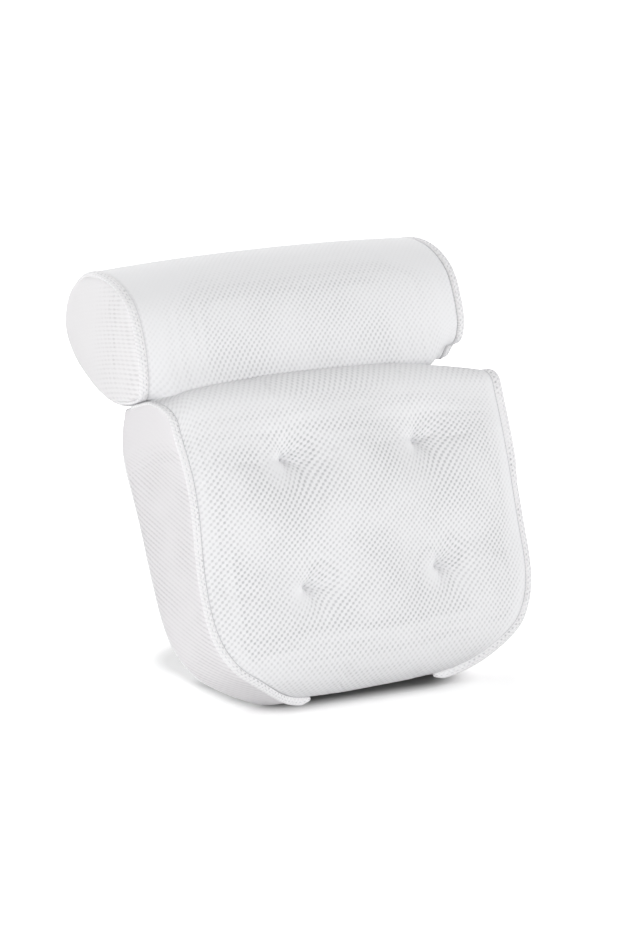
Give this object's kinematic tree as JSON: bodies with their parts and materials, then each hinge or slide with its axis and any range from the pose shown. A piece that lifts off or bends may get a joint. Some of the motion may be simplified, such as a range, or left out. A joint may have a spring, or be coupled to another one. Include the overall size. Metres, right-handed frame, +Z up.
{
  "type": "bath pillow",
  "caption": "Bath pillow of white mesh cloth: a tufted, gusseted back panel with a stuffed head roll hinged on its top edge by a sewn fold, and suction cups behind.",
  "frame": {"origin": "midway between the four suction cups behind the panel, in the plane of their rims, where the bath wall is", "axes": "+X to the viewer's right across the pillow, +Y from the face to the back, +Z up"},
  "size_m": [0.3646, 0.2387, 0.3824],
  "materials": {
    "mesh_fabric": "white spacer mesh with small staggered holes, matte",
    "ribbed_fabric": "white spacer mesh with fine ribs, matte",
    "welt_fabric": "folded and topstitched white mesh, matte",
    "thread": "white polyester sewing thread",
    "filling": "white polyester wadding",
    "suction_cup": "clear soft vinyl, glossy"
  },
  "bodies": {
    "panel": {"panel_front_cover": "mesh_fabric", "panel_back_cover": "mesh_fabric", "panel_left_gusset": "ribbed_fabric", "panel_right_gusset": "ribbed_fabric", "panel_left_front_welt": "welt_fabric", "panel_left_back_welt": "welt_fabric", "panel_right_front_welt": "welt_fabric", "panel_right_back_welt": "welt_fabric", "panel_filling": "filling", "tuft_tie_lower_left": "thread", "tuft_tie_lower_right": "thread", "tuft_tie_upper_left": "thread", "tuft_tie_upper_right": "thread", "fold_web": "welt_fabric", "cup_patch_lower_left": "welt_fabric", "cup_patch_lower_right": "welt_fabric", "cup_patch_upper_left": "welt_fabric", "cup_patch_upper_right": "welt_fabric"},
    "head_roll": {"roll_sleeve": "mesh_fabric", "roll_left_end": "ribbed_fabric", "roll_right_end": "ribbed_fabric", "roll_left_welt": "welt_fabric", "roll_right_welt": "welt_fabric", "roll_filling": "filling", "cup_patch_roll_left": "welt_fabric", "cup_patch_roll_right": "welt_fabric"},
    "cup_lower_left": {"suction_cup_lower_left": "suction_cup"},
    "cup_lower_right": {"suction_cup_lower_right": "suction_cup"},
    "cup_upper_left": {"suction_cup_upper_left": "suction_cup"},
    "cup_upper_right": {"suction_cup_upper_right": "suction_cup"},
    "cup_roll_left": {"suction_cup_roll_left": "suction_cup"},
    "cup_roll_right": {"suction_cup_roll_right": "suction_cup"}
  },
  "joints": [
    {"name": "head_roll_fold", "type": "hinge", "parent": "panel", "child": "head_roll", "pos_m": [0, 0.01833, 0.15128], "axis": [1, 0, 0], "range_deg": [-74, 16]},
    {"name": "cup_swivel_lower_left", "type": "hinge", "parent": "panel", "child": "cup_lower_left", "pos_m": [-0.098, -0.03838, -0.05128], "axis": [0, 0.9109, -0.4127], "continuous": true},
    {"name": "cup_swivel_lower_right", "type": "hinge", "parent": "panel", "child": "cup_lower_right", "pos_m": [0.098, -0.03838, -0.05128], "axis": [0, 0.9109, -0.4127], "continuous": true},
    {"name": "cup_swivel_upper_left", "type": "hinge", "parent": "panel", "child": "cup_upper_left", "pos_m": [-0.098, 0.01324, 0.06267], "axis": [0, 0.9109, -0.4127], "continuous": true},
    {"name": "cup_swivel_upper_right", "type": "hinge", "parent": "panel", "child": "cup_upper_right", "pos_m": [0.098, 0.01324, 0.06267], "axis": [0, 0.9109, -0.4127], "continuous": true},
    {"name": "cup_swivel_roll_left", "type": "hinge", "parent": "head_roll", "child": "cup_roll_left", "pos_m": [-0.096, 0.08483, 0.17258], "axis": [0, 0.5508, -0.8347], "continuous": true},
    {"name": "cup_swivel_roll_right", "type": "hinge", "parent": "head_roll", "child": "cup_roll_right", "pos_m": [0.096, 0.08483, 0.17258], "axis": [0, 0.5508, -0.8347], "continuous": true}
  ]
}
